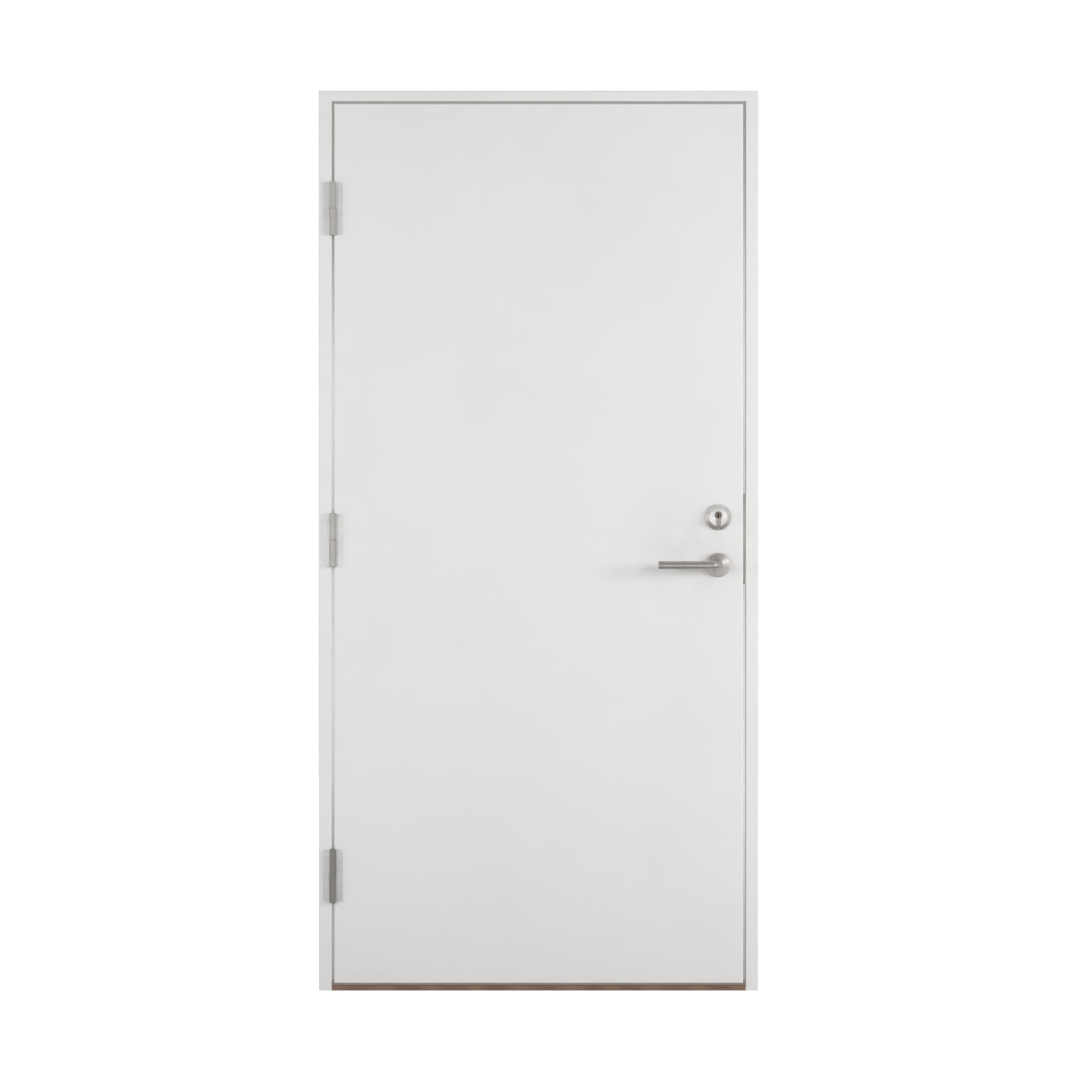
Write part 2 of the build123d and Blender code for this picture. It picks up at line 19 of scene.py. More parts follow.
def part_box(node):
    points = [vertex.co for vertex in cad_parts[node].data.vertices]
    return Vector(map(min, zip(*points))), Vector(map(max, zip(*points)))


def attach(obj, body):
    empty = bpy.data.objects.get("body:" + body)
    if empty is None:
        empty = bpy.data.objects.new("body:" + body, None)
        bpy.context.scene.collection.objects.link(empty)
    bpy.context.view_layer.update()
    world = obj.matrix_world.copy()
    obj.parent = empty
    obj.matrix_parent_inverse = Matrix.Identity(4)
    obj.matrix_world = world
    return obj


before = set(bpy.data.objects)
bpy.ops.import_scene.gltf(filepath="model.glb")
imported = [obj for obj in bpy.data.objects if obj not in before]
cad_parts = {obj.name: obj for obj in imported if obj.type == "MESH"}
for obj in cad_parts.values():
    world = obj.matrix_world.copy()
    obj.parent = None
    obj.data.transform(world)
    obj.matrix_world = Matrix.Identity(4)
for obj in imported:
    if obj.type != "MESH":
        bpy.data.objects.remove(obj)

LOG = logging.getLogger("acoustic_door")

Feed = NodeSocket | float | tuple[float, ...]
Colour = tuple[float, float, float]
Point = tuple[float, float, float]
Span = tuple[float, float]
Outline = list[Span]

NUMBER = "NodeSocketFloat"
VECTOR = "NodeSocketVector"
WHITE = (1.0, 1.0, 1.0)
HINGE_HEIGHTS = ("bottom", "middle", "top")

Mesh = bmesh.types.BMesh
Ring = list[bmesh.types.BMVert]

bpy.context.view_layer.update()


class Graph:
    """A shader node tree, with short ways to add nodes and join them."""

    # A Mix node has sockets for each kind of data; these are the ones for colours.
    MIX_INPUTS = (0, 6, 7)
    MIX_OUTPUT = 2

    def __init__(self, tree: NodeTree, shader: str | None = None) -> None:
        """Keep the tree that nodes are added to, and the shader that it has, if any."""
        self.tree = tree
        self.shader = tree.nodes[shader] if shader else None

    def feed(self, socket: NodeSocket, value: Feed) -> None:
        """Join a socket to another one, or set its own value.

        Args:
            socket: The input that takes the value.
            value: An output socket, a number or a tuple of numbers.
        """
        if isinstance(value, NodeSocket):
            self.tree.links.new(value, socket)
        elif isinstance(value, tuple) and socket.type == "RGBA":
            socket.default_value = (*value, 1.0)
        else:
            socket.default_value = value

    def set(self, name: str, value: Feed) -> None:
        """Feed one of the shader's inputs."""
        self.feed(self.shader.inputs[name], value)

    def add(self, kind: str, inputs: dict[str, Feed] | None = None, **settings: object) -> Node:
        """Add one node.

        Args:
            kind: The node's type name, without its ShaderNode prefix.
            inputs: Values or sockets for its named inputs.
            **settings: The node's own options.

        Returns:
            The new node.
        """
        node = self.tree.nodes.new(f"ShaderNode{kind}")
        for option, value in settings.items():
            setattr(node, option, value)
        for name, value in (inputs or {}).items():
            self.feed(node.inputs[name], value)
        return node

    def math(self, operation: str, a: Feed, b: Feed = 0.0, clamp: bool = False) -> NodeSocket:
        """Return the result of one sum on two numbers.

        Args:
            operation: The Math node's operation.
            a: The first number.
            b: The second number.
            clamp: Whether the result is held between 0 and 1.

        Returns:
            The socket with the result.
        """
        node = self.add("Math", operation=operation, use_clamp=clamp)
        self.feed(node.inputs[0], a)
        self.feed(node.inputs[1], b)
        return node.outputs["Value"]

    def on_vectors(self, operation: str, a: Feed, b: Feed, output: str = "Vector") -> NodeSocket:
        """Return the result of one sum on two vectors, from Value where it is a number."""
        node = self.add("VectorMath", operation=operation)
        self.feed(node.inputs[0], a)
        self.feed(node.inputs[1], b)
        return node.outputs[output]

    def add_product(self, a: Feed, b: Feed, c: Feed) -> NodeSocket:
        """Return a times b, plus c."""
        node = self.add("Math", operation="MULTIPLY_ADD")
        for socket, value in zip(node.inputs, (a, b, c)):
            self.feed(socket, value)
        return node.outputs["Value"]

    def remap(self, value: Feed, span: Span, result: Span = (0.0, 1.0)) -> NodeSocket:
        """Return a value moved smoothly from one span of numbers to another.

        Args:
            value: The number to move.
            span: The two ends of the span that it comes from.
            result: What it becomes at each of them.

        Returns:
            The socket with the result.
        """
        inputs = {"Value": value, "From Min": span[0], "From Max": span[1]}
        inputs |= {"To Min": result[0], "To Max": result[1]}
        node = self.add("MapRange", inputs, interpolation_type="SMOOTHSTEP")
        return node.outputs["Result"]

    def blend(self, share: Feed, below: Feed, above: Feed, mode: str = "MIX") -> NodeSocket:
        """Return one colour laid over another.

        Args:
            share: How much of the upper colour shows.
            below: The lower colour.
            above: The upper colour.
            mode: The Mix node's way of blending.

        Returns:
            The socket with the colour.
        """
        node = self.add("Mix", data_type="RGBA", blend_type=mode)
        for index, value in zip(self.MIX_INPUTS, (share, below, above)):
            self.feed(node.inputs[index], value)
        return node.outputs[self.MIX_OUTPUT]

    def place(self) -> NodeSocket:
        """Return the point on the object, in metres at rest."""
        return self.add("TexCoord").outputs["Object"]

    def parts(self, vector: Feed) -> NodeOutputs:
        """Return a vector's X, Y and Z as three sockets."""
        return self.add("SeparateXYZ", {"Vector": vector}).outputs

    def stretched(self, scale: Feed) -> NodeSocket:
        """Return the point on the object, multiplied part by part."""
        return self.on_vectors("MULTIPLY", self.place(), scale)

    def noise(
        self, vector: Feed, scale: Feed = 1.0, detail: float = 2.0, roughness: float = 0.5
    ) -> NodeSocket:
        """Return noise from about 0 to 1.

        Args:
            vector: Where the noise is read.
            scale: Lumps per metre.
            detail: How many finer layers it has.
            roughness: How strong those layers are.

        Returns:
            The socket with the noise.
        """
        inputs = {"Vector": vector, "Scale": scale, "Detail": detail, "Roughness": roughness}
        return self.add("TexNoise", inputs).outputs["Fac"]

    def use(self, group: NodeTree, inputs: dict[str, Feed]) -> NodeOutputs:
        """Place a group of nodes with its own values.

        Args:
            group: The shared group.
            inputs: Values or sockets for its named inputs.

        Returns:
            The placed group's outputs.
        """
        node = self.add("Group", node_tree=group)
        for name, value in inputs.items():
            self.feed(node.inputs[name], value)
        return node.outputs


def new_group(
    name: str, inputs: dict[str, str], outputs: dict[str, str]
) -> tuple[Graph, NodeOutputs, NodeInputs]:
    """Start a shared group of shader nodes.

    Args:
        name: The group's name.
        inputs: Its inputs and what they carry.
        outputs: Its outputs and what they carry.

    Returns:
        The graph, the sockets that give the inputs and the sockets that take the outputs.
    """
    tree = bpy.data.node_groups.new(name, "ShaderNodeTree")
    for way, sockets in (("INPUT", inputs), ("OUTPUT", outputs)):
        for socket, kind in sockets.items():
            tree.interface.new_socket(name=socket, in_out=way, socket_type=kind)
    given = tree.nodes.new("NodeGroupInput").outputs
    made = tree.nodes.new("NodeGroupOutput").inputs
    return Graph(tree), given, made


@cache
def edge_wear() -> NodeTree:
    """Return the group that marks worn hard edges and rounds them for the light."""
    turned_at_edge = (0.01, 0.2)
    rubbed_spots = (0.42, 0.62)
    graph, given, made = new_group(
        "Edge wear",
        {"Radius": NUMBER, "Breakup": NUMBER, "Amount": NUMBER},
        {"Mask": NUMBER, "Rounded": VECTOR},
    )
    rounded = graph.add("Bevel", {"Radius": given["Radius"]}, samples=6).outputs["Normal"]
    surface = graph.add("NewGeometry").outputs["Normal"]
    alike = graph.on_vectors("DOT_PRODUCT", rounded, surface, "Value")
    edge = graph.remap(graph.math("SUBTRACT", 1.0, alike), turned_at_edge)
    spots = graph.noise(graph.place(), given["Breakup"], detail=4.0, roughness=0.6)
    rubbed = graph.math("MULTIPLY", edge, graph.remap(spots, rubbed_spots))
    graph.feed(made["Mask"], graph.math("MULTIPLY", rubbed, given["Amount"], clamp=True))
    graph.feed(made["Rounded"], rounded)
    return graph.tree


@cache
def clouding() -> NodeTree:
    """Return the group that varies a finish slowly over its surface, around 0.5."""
    graph, given, made = new_group(
        "Clouding", {"Scale": NUMBER, "Shift": VECTOR}, {"Value": NUMBER}
    )
    moved = graph.on_vectors("ADD", graph.place(), given["Shift"])
    graph.feed(made["Value"], graph.noise(moved, given["Scale"], detail=5.0, roughness=0.55))
    return graph.tree


@cache
def stipple() -> NodeTree:
    """Return the group for the fine even texture that a coat of paint or a moulding has."""
    finer = 2.7
    share_of_fine = 0.4
    graph, given, made = new_group("Stipple", {"Scale": NUMBER}, {"Height": NUMBER})
    place = graph.place()
    coarse = graph.noise(place, given["Scale"], detail=1.0)
    fine = graph.noise(place, graph.math("MULTIPLY", given["Scale"], finer), detail=2.0)
    graph.feed(made["Height"], graph.add_product(fine, share_of_fine, coarse))
    return graph.tree


@cache
def brushing() -> NodeTree:
    """Return the group for straight polishing lines, so many a metre along X, Y and Z."""
    graph, given, made = new_group("Brushing", {"Lines": VECTOR}, {"Height": NUMBER})
    drawn = graph.stretched(given["Lines"])
    graph.feed(made["Height"], graph.noise(drawn, detail=4.0, roughness=0.65))
    return graph.tree


@cache
def turning() -> NodeTree:
    """Return the group for polishing rings about a line along Y through a centre."""
    marks_per_radian = 1.5
    graph, given, made = new_group(
        "Turning", {"Centre": VECTOR, "Lines": NUMBER}, {"Height": NUMBER}
    )
    x, y, z = graph.parts(graph.on_vectors("SUBTRACT", graph.place(), given["Centre"]))
    squares = graph.math("ADD", graph.math("MULTIPLY", x, x), graph.math("MULTIPLY", z, z))
    radius = graph.math("ADD", graph.math("SQRT", squares), y)
    lines = graph.math("MULTIPLY", radius, given["Lines"])
    angle = graph.math("MULTIPLY", graph.math("ARCTAN2", z, x), marks_per_radian)
    drawn = graph.add("CombineXYZ", {"X": lines, "Y": angle}).outputs["Vector"]
    graph.feed(made["Height"], graph.noise(drawn, detail=3.0, roughness=0.6))
    return graph.tree


@cache
def wood_grain() -> NodeTree:
    """Return the group for wood: wandering bands and short pores along one direction."""
    bend = 9.0
    pore_spots = (0.56, 0.68)
    graph, given, made = new_group(
        "Wood grain",
        {"Along": VECTOR, "Pores": VECTOR},
        {"Bands": NUMBER, "Pores": NUMBER},
    )
    drawn = graph.stretched(given["Along"])
    wander = graph.math("MULTIPLY", graph.noise(drawn, detail=3.0), bend)
    inputs = {"Vector": drawn, "Scale": 1.4, "Distortion": wander, "Detail": 3.0}
    graph.feed(made["Bands"], graph.add("TexWave", inputs).outputs["Fac"])
    fibres = graph.noise(graph.stretched(given["Pores"]), detail=3.0, roughness=0.7)
    graph.feed(made["Pores"], graph.remap(fibres, pore_spots))
    return graph.tree


def clouds(graph: Graph, scale: float, shift: Point = (0.0, 0.0, 0.0)) -> NodeSocket:
    """Return slow variation, so many clouds a metre, moved to differ from other uses."""
    return graph.use(clouding(), {"Scale": scale, "Shift": shift})["Value"]


def start_material(name: str) -> tuple[Material, Graph]:
    """Start a material with one Principled shader.

    Args:
        name: The material's name.

    Returns:
        The material and its graph.
    """
    material = bpy.data.materials.new(name)
    material.use_nodes = True
    return material, Graph(material.node_tree, "Principled BSDF")


def relief(graph: Graph, height: Feed, depth: float, base: Feed | None = None) -> NodeSocket:
    """Return the normal of a surface with fine relief.

    Args:
        graph: The material's graph.
        height: The relief from 0 to 1.
        depth: How deep it is, in metres.
        base: The normal that it is laid on.

    Returns:
        The socket with the normal.
    """
    bump = graph.add("Bump", {"Height": height, "Distance": depth, "Strength": 1.0})
    if base is not None:
        graph.feed(bump.inputs["Normal"], base)
    return bump.outputs["Normal"]


@dataclass(frozen=True)
class Paint:
    """Satin paint over wood, a little marked where hands and feet meet it."""

    name: str
    colour: Colour = (0.800, 0.795, 0.790)
    faded: Colour = (0.770, 0.760, 0.745)
    worn: Colour = (0.600, 0.570, 0.530)
    dirt_and_shade: Colour = (0.45, 0.42, 0.38)
    most_faded: float = 0.6
    roughness: Span = (0.37, 0.49)
    stipple_scale: float = 700.0
    stipple_depth: float = 0.000035
    wear_radius: float = 0.0012
    wear_amount: float = 0.35
    touched_at: Point = (0.86, -0.05, 0.99)
    touched_within: Span = (0.03, 0.2)
    most_touched: float = 0.10
    scuffed_within: Span = (0.02, 0.16)
    most_scuffed: float = 0.07
    scuff_lines: Point = (9.0, 9.0, 160.0)
    dulled_by_marks: float = 0.5

    def marks(self, graph: Graph) -> NodeSocket:
        """Return the marks of hands round the lever and of feet along the bottom.

        Args:
            graph: The material's graph.

        Returns:
            The socket with how much the marks show.
        """
        from_hand = graph.on_vectors("DISTANCE", graph.place(), self.touched_at, "Value")
        near_hand = graph.remap(from_hand, self.touched_within, (self.most_touched, 0.0))
        smears = graph.remap(clouds(graph, 26.0, (0.0, 0.0, 0.4)), (0.4, 0.65))
        handled = graph.math("MULTIPLY", near_hand, smears)
        height = graph.parts(graph.place())["Z"]
        near_floor = graph.remap(height, self.scuffed_within, (self.most_scuffed, 0.0))
        streaks = graph.use(brushing(), {"Lines": self.scuff_lines})["Height"]
        scuffed = graph.math("MULTIPLY", near_floor, graph.remap(streaks, (0.52, 0.7)))
        return graph.math("ADD", handled, scuffed, clamp=True)

    def material(self) -> Material:
        """Return the paint: even stipple, slow fading, rubbed edges and a few marks."""
        material, graph = start_material(self.name)
        cloud = clouds(graph, 3.0, (0.3, 0.7, 0.1))
        fading = graph.remap(cloud, (0.4, 0.75), (0.0, self.most_faded))
        colour = graph.blend(fading, self.colour, self.faded)
        marks = self.marks(graph)
        colour = graph.blend(marks, colour, self.dirt_and_shade)
        wear = graph.use(
            edge_wear(), {"Radius": self.wear_radius, "Breakup": 60.0, "Amount": self.wear_amount}
        )
        graph.set("Base Color", graph.blend(wear["Mask"], colour, self.worn))
        roughness = graph.remap(clouds(graph, 14.0, (0.5, 0.0, 0.0)), (0.3, 0.7), self.roughness)
        graph.set("Roughness", graph.add_product(marks, self.dulled_by_marks, roughness))
        dimples = graph.use(stipple(), {"Scale": self.stipple_scale})["Height"]
        normal = relief(graph, dimples, self.stipple_depth, wear["Rounded"])
        graph.set("Normal", normal)
        return material


@dataclass(frozen=True)
class Hardwood:
    """Dark oiled hardwood with its grain along X, rubbed lighter where feet cross it."""

    name: str
    dark: Colour = (0.174, 0.102, 0.069)
    light: Colour = (0.246, 0.148, 0.103)
    pore: Colour = (0.060, 0.037, 0.026)
    rubbed: Colour = (0.280, 0.190, 0.145)
    band_scale: Point = (2.2, 30.0, 30.0)
    pore_scale: Point = (28.0, 900.0, 900.0)
    pore_share: float = 0.75
    pore_depth: float = 0.00012
    most_rubbed: float = 0.35
    wear_radius: float = 0.0012
    wear_amount: float = 0.6
    roughness: Span = (0.38, 0.6)

    def material(self) -> Material:
        """Return the wood: bands, open pores, a worn front arris and dulled oil."""
        material, graph = start_material(self.name)
        grain = graph.use(wood_grain(), {"Along": self.band_scale, "Pores": self.pore_scale})
        colour = graph.blend(grain["Bands"], self.dark, self.light)
        patches = clouds(graph, 7.0, (0.0, 0.2, 0.0))
        rubbing = graph.remap(patches, (0.35, 0.7), (0.0, self.most_rubbed))
        colour = graph.blend(rubbing, colour, self.rubbed)
        pores = graph.math("MULTIPLY", grain["Pores"], self.pore_share)
        colour = graph.blend(pores, colour, self.pore)
        wear = graph.use(
            edge_wear(), {"Radius": self.wear_radius, "Breakup": 120.0, "Amount": self.wear_amount}
        )
        graph.set("Base Color", graph.blend(wear["Mask"], colour, self.rubbed))
        graph.set("Roughness", graph.remap(patches, (0.3, 0.7), self.roughness))
        sunk = graph.math("SUBTRACT", 1.0, grain["Pores"])
        graph.set("Normal", relief(graph, sunk, self.pore_depth, wear["Rounded"]))
        return material


@dataclass(frozen=True)
class PressedBoard:
    """Board pressed from flakes, seen where the leaf is bored."""

    name: str
    colour: Colour = (0.550, 0.430, 0.280)
    flake: Colour = (0.330, 0.235, 0.140)
    flake_shape: Point = (1.0, 3.0, 0.5)
    flakes_per_metre: float = 260.0
    joint_depth: float = 0.0004
    roughness: float = 0.85

    def material(self) -> Material:
        """Return the board: flakes of several tones with open joints between them."""
        material, graph = start_material(self.name)
        inputs = {"Vector": graph.stretched(self.flake_shape), "Scale": self.flakes_per_metre}
        flakes = graph.add("TexVoronoi", inputs).outputs
        tone = graph.remap(graph.parts(flakes["Color"])["X"], (0.2, 0.9))
        graph.set("Base Color", graph.blend(tone, self.colour, self.flake))
        graph.set("Roughness", self.roughness)
        graph.set("Normal", relief(graph, flakes["Distance"], self.joint_depth))
        return material


@dataclass(frozen=True)
class Rubber:
    """Soft extruded seal with a fine skin and dust on it."""

    name: str
    colour: Colour = (0.680, 0.675, 0.660)
    dusty: Colour = (0.590, 0.580, 0.560)
    # Painted shade: the lip seal's colour far from its lightest height.
    dirt_and_shade: Colour = (0.360, 0.350, 0.335)
    # Dark brown of the seal's foot: partly mud, partly painted shadow.
    mud_and_shadow: Colour = (0.290, 0.215, 0.175)
    roughness: Span = (0.55, 0.8)
    skin_scale: float = 2200.0
    skin_depth: float = 0.00003
    # The height where the lip seal has no painted shade.
    unshaded_height: float | None = None
    shade_spread: Span = (0.35, 1.10)
    mud_and_shadow_below: Span = (0.018, 0.030)

    def with_shade_and_mud(self, graph: Graph, colour: NodeSocket) -> NodeSocket:
        """Return the colour with painted shade away from the seal's lightest height, and mud with
        painted shadow at the foot.

        Args:
            graph: The material's graph.
            colour: The colour of the rubber before its painted shade.

        Returns:
            The socket with the colour.
        """
        height = graph.parts(graph.place())["Z"]
        away = graph.math("ABSOLUTE", graph.math("SUBTRACT", height, self.unshaded_height))
        # Painted shade: the seal darkens with its distance from that height.
        colour = graph.blend(graph.remap(away, self.shade_spread), colour, self.dirt_and_shade)
        # Dark brown at the foot, partly mud and partly painted shadow of the gap under the leaf.
        return graph.blend(graph.remap(height, self.mud_and_shadow_below, (1.0, 0.0)), colour, self.mud_and_shadow)

    def material(self) -> Material:
        """Return the rubber: matt, with slow dusty patches, and painted shade and mud where wanted.
        """
        material, graph = start_material(self.name)
        dust = clouds(graph, 22.0, (0.1, 0.1, 0.0))
        colour = graph.blend(graph.remap(dust, (0.4, 0.7)), self.colour, self.dusty)
        if self.unshaded_height is not None:
            colour = self.with_shade_and_mud(graph, colour)
        graph.set("Base Color", colour)
        graph.set("Roughness", graph.remap(dust, (0.3, 0.7), self.roughness))
        skin = graph.use(stipple(), {"Scale": self.skin_scale})["Height"]
        graph.set("Normal", relief(graph, skin, self.skin_depth))
        return material


class Polish(Enum):
    """Which way the polishing lines run on a metal piece."""

    BLASTED = "even, with no lines"
    ALONG_X = "lines along X"
    ALONG_Y = "lines along Y"
    ALONG_Z = "lines along Z"
    BENT = "lines along X on the grip, and along Y on the neck"
    TURNED = "rings about a line along Y"


@dataclass(frozen=True)
class Barrel:
    """How a hinge's barrel is darker than its plates, most of all near the floor. This is painted
    shade, standing for the darker room that the barrel's curve reflects.
    """

    in_front_of: float
    transition: float = 0.001
    # Painted shade: the barrel's colour high up, and darker low down.
    shaded_high: Colour = (0.46, 0.45, 0.43)
    dirt_and_shade: Colour = (0.28, 0.27, 0.255)
    darker_between: Span = (0.35, 0.95)
    duller: float = 0.15

    def tones(self, graph: Graph) -> tuple[NodeSocket, NodeSocket]:
        """Return where the barrel is and its colour of painted shade.

        Args:
            graph: The material's graph.

        Returns:
            The socket that is 1 on the barrel, and the socket with its painted-shade colour.
        """
        _, depth, height = graph.parts(graph.place())
        span = (self.in_front_of, self.in_front_of + self.transition)
        on_barrel = graph.remap(depth, span, (1.0, 0.0))
        upper_share = graph.remap(height, self.darker_between)
        return on_barrel, graph.blend(upper_share, self.dirt_and_shade, self.shaded_high)


@dataclass(frozen=True)
class Metal:
    """Polished, brushed or plated metal."""

    name: str
    colour: Colour
    tarnish: Colour
    polish: Polish
    roughness: float = 0.32
    metallic: float = 1.0
    line_depth: float = 0.00001
    line_shades: Span = (0.9, 1.08)
    fine_lines: float = 2600.0
    long_lines: float = 14.0
    blasted_grain: float = 1800.0
    wear: Colour = (0.80, 0.79, 0.77)
    wear_radius: float = 0.0006
    wear_amount: float = 0.4
    centre: Point = (0.0, 0.0, 0.0)
    bend_x: float = 0.0
    bend_before: Span = (0.012, 0.004)
    stretch: float = 0.0
    crown: float = 0.0
    barrel: Barrel | None = None

    def straight(self, graph: Graph, way: Polish) -> NodeSocket:
        """Return the height of straight lines along one axis."""
        ways = (Polish.ALONG_X, Polish.ALONG_Y, Polish.ALONG_Z)
        lines = tuple(self.long_lines if way is along else self.fine_lines for along in ways)
        return graph.use(brushing(), {"Lines": lines})["Height"]

    def lines(self, graph: Graph) -> NodeSocket:
        """Return the height of the polishing lines.

        Args:
            graph: The material's graph.

        Returns:
            The socket with the height, from 0 to 1.
        """
        if self.polish is Polish.TURNED:
            rings = {"Centre": self.centre, "Lines": self.fine_lines}
            return graph.use(turning(), rings)["Height"]
        if self.polish is Polish.BLASTED:
            return graph.use(stipple(), {"Scale": self.blasted_grain})["Height"]
        if self.polish is Polish.BENT:
            grip = self.straight(graph, Polish.ALONG_X)
            neck = self.straight(graph, Polish.ALONG_Y)
            on_neck = self.on_neck(graph)
            kept = graph.math("MULTIPLY", grip, graph.math("SUBTRACT", 1.0, on_neck))
            return graph.math("ADD", kept, graph.math("MULTIPLY", neck, on_neck))
        return self.straight(graph, self.polish)

    def on_neck(self, graph: Graph) -> NodeSocket:
        """Return how far the lines have turned from the grip's way to the neck's."""
        start, end = self.bend_before
        span = (self.bend_x - start, self.bend_x - end)
        return graph.remap(graph.parts(graph.place())["X"], span)

    def stretch_gloss(self, graph: Graph) -> None:
        """Spread the gloss across the lines of a bent or turned piece.

        Args:
            graph: The material's graph.
        """
        quarter_turn = 0.25
        graph.set("Anisotropic", self.stretch)
        graph.set("Anisotropic Rotation", quarter_turn)
        if self.polish is Polish.BENT:
            on_neck = self.on_neck(graph)
            inputs = {"X": graph.math("SUBTRACT", 1.0, on_neck), "Y": on_neck}
            way = graph.add("CombineXYZ", inputs).outputs["Vector"]
            settings = {"vector_type": "VECTOR", "convert_from": "OBJECT", "convert_to": "WORLD"}
            tangent = graph.add("VectorTransform", {"Vector": way}, **settings).outputs["Vector"]
        else:
            tangent = graph.add("Tangent", direction_type="RADIAL", axis="Y").outputs["Tangent"]
        graph.set("Tangent", tangent)

    def material(self) -> Material:
        """Return the metal: polishing lines, slow tarnish and bright rubbed edges."""
        material, graph = start_material(self.name)
        lines = self.lines(graph)
        cloud = clouds(graph, 45.0, (0.2, 0.0, 0.6))
        colour = graph.blend(graph.remap(cloud, (0.4, 0.7)), self.colour, self.tarnish)
        spread = graph.remap(lines, (0.25, 0.75), (-0.05, 0.05))
        dulled = graph.remap(cloud, (0.35, 0.7), (self.roughness, self.roughness + 0.1))
        # On a hinge's barrel, painted shade darkens the colour.
        if self.barrel is not None:
            on_barrel, darker = self.barrel.tones(graph)
            colour = graph.blend(on_barrel, colour, darker)
            dulled = graph.add_product(on_barrel, self.barrel.duller, dulled)
        shade = graph.remap(lines, (0.25, 0.75), self.line_shades)
        toned = graph.add("CombineXYZ", {"X": shade, "Y": shade, "Z": shade}).outputs["Vector"]
        colour = graph.blend(1.0, colour, toned, mode="MULTIPLY")
        wear = graph.use(
            edge_wear(), {"Radius": self.wear_radius, "Breakup": 260.0, "Amount": self.wear_amount}
        )
        graph.set("Base Color", graph.blend(wear["Mask"], colour, self.wear))
        graph.set("Metallic", self.metallic)
        if self.stretch > 0.0:
            self.stretch_gloss(graph)
        graph.set("Roughness", graph.math("ADD", spread, dulled))
        normal = self.crowned(graph, wear["Rounded"]) if self.crown > 0.0 else wear["Rounded"]
        graph.set("Normal", relief(graph, lines, self.line_depth, normal))
        return material

    def crowned(self, graph: Graph, base: NodeSocket) -> NodeSocket:
        """Return the normal of a turned face that is a little higher at its centre.

        Args:
            graph: The material's graph.
            base: The normal that it is laid on.

        Returns:
            The socket with the normal.
        """
        x, _, z = graph.parts(graph.place())
        from_x = graph.math("SUBTRACT", x, self.centre[0])
        from_z = graph.math("SUBTRACT", z, self.centre[2])
        squares = graph.add_product(from_x, from_x, graph.math("MULTIPLY", from_z, from_z))
        return relief(graph, graph.math("MULTIPLY", squares, -self.crown), 1.0, base)


@dataclass(frozen=True)
class Shadowed:
    """Painted shade at the bottom of a screw's recess: near-black metal that makes the shallow
    recess look deep.
    """

    name: str
    # Two near-black tones of painted shade.
    colour: Colour = (0.035, 0.033, 0.030)
    lighter_shade: Colour = (0.09, 0.082, 0.072)
    metallic: float = 0.6
    roughness: Span = (0.45, 0.75)

    def material(self) -> Material:
        """Return the painted shade, in two tones."""
        material, graph = start_material(self.name)
        cloud = clouds(graph, 900.0)
        graph.set("Base Color", graph.blend(cloud, self.colour, self.lighter_shade))
        graph.set("Metallic", self.metallic)
        graph.set("Roughness", graph.remap(cloud, (0.3, 0.7), self.roughness))
        return material


def dress(material: Material, *nodes: str) -> None:
    """Give constructed nodes their finish.

    Args:
        material: The finish.
        *nodes: The nodes' names.
    """
    for node in nodes:
        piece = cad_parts[node]
        piece.data.materials.clear()
        piece.data.materials.append(material)
        LOG.info("%s wears %s", node, material.name)


def add_object(name: str, mesh: Mesh, materials: list[Material]) -> Object:
    """Turn a finished mesh into an object in the scene.

    Args:
        name: The object's name.
        mesh: Its mesh.
        materials: Its finishes, in the order of its faces' numbers.

    Returns:
        The new object.
    """
    data = bpy.data.meshes.new(name)
    mesh.to_mesh(data)
    mesh.free()
    for material in materials:
        data.materials.append(material)
    added = bpy.data.objects.new(name, data)
    bpy.context.scene.collection.objects.link(added)
    return added


def ride(piece: Object, body: str) -> None:
    """Make a piece move with a body.

    Args:
        piece: The piece, in place at rest.
        body: The body that it moves with.
    """
    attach(piece, body)
    LOG.info("%s has %d faces and rides on %s", piece.name, len(piece.data.polygons), body)


def facing(point: Vector, outwards: Vector) -> Matrix:
    """Return the placement that stands a small fitting on a surface.

    Args:
        point: The fitting's foot on the surface.
        outwards: The surface's normal there.

    Returns:
        The placement, which turns local Z to the normal.
    """
    return Matrix.Translation(point) @ outwards.to_track_quat("Z", "Y").to_matrix().to_4x4()


def front_centre(box: tuple[Vector, Vector]) -> Point:
    """Return the centre of the front face of a box, given by its lowest and highest corners."""
    low, high = box
    return (low.x + high.x) / 2, low.y, (low.z + high.z) / 2


def circle(radius: float, count: int) -> Outline:
    """Return points evenly round a circle."""
    turns = [math.tau * i / count for i in range(count)]
    return [(radius * math.cos(turn), radius * math.sin(turn)) for turn in turns]


def following(ring: Ring) -> Ring:
    """Return the point that follows each point of a ring."""
    return ring[1:] + ring[:1]


def add_wall(mesh: Mesh, near: Ring, far: Ring) -> list[bmesh.types.BMFace]:
    """Join two rings of points by a wall of faces.

    Args:
        mesh: The mesh that has the points.
        near: The first ring.
        far: The second ring, with as many points.

    Returns:
        The new faces.
    """
    return [mesh.faces.new(corners) for corners in zip(near, following(near), following(far), far)]


@dataclass(frozen=True)
class CrossScrew:
    """Countersunk screw, whose low head and cross recess show."""

    head_radius: float = 0.0043
    proud: float = 0.0004
    rim: float = 0.0003
    recess_reach: float = 0.0023
    blade: float = 0.0005
    recess_taper: float = 0.8
    floor_level: float = 0.15
    segments: int = 28

    def outlines(self) -> list[tuple[Outline, float]]:
        """Return the foot, the brim, the recess's lip and its floor, each with its height."""
        reach, blade = self.recess_reach, self.blade
        cross = [
            (x * math.cos(turn) - y * math.sin(turn), x * math.sin(turn) + y * math.cos(turn))
            for turn in (0, math.pi / 2, math.pi, 3 * math.pi / 2)
            for x, y in ((reach, -blade), (reach, blade), (blade, blade))
        ]
        floor = [(x * self.recess_taper, y * self.recess_taper) for x, y in cross]
        return [
            (circle(self.head_radius, self.segments), 0.0),
            (circle(self.head_radius - self.rim, self.segments), self.proud),
            (cross, self.proud),
            (floor, self.proud * self.floor_level),
        ]


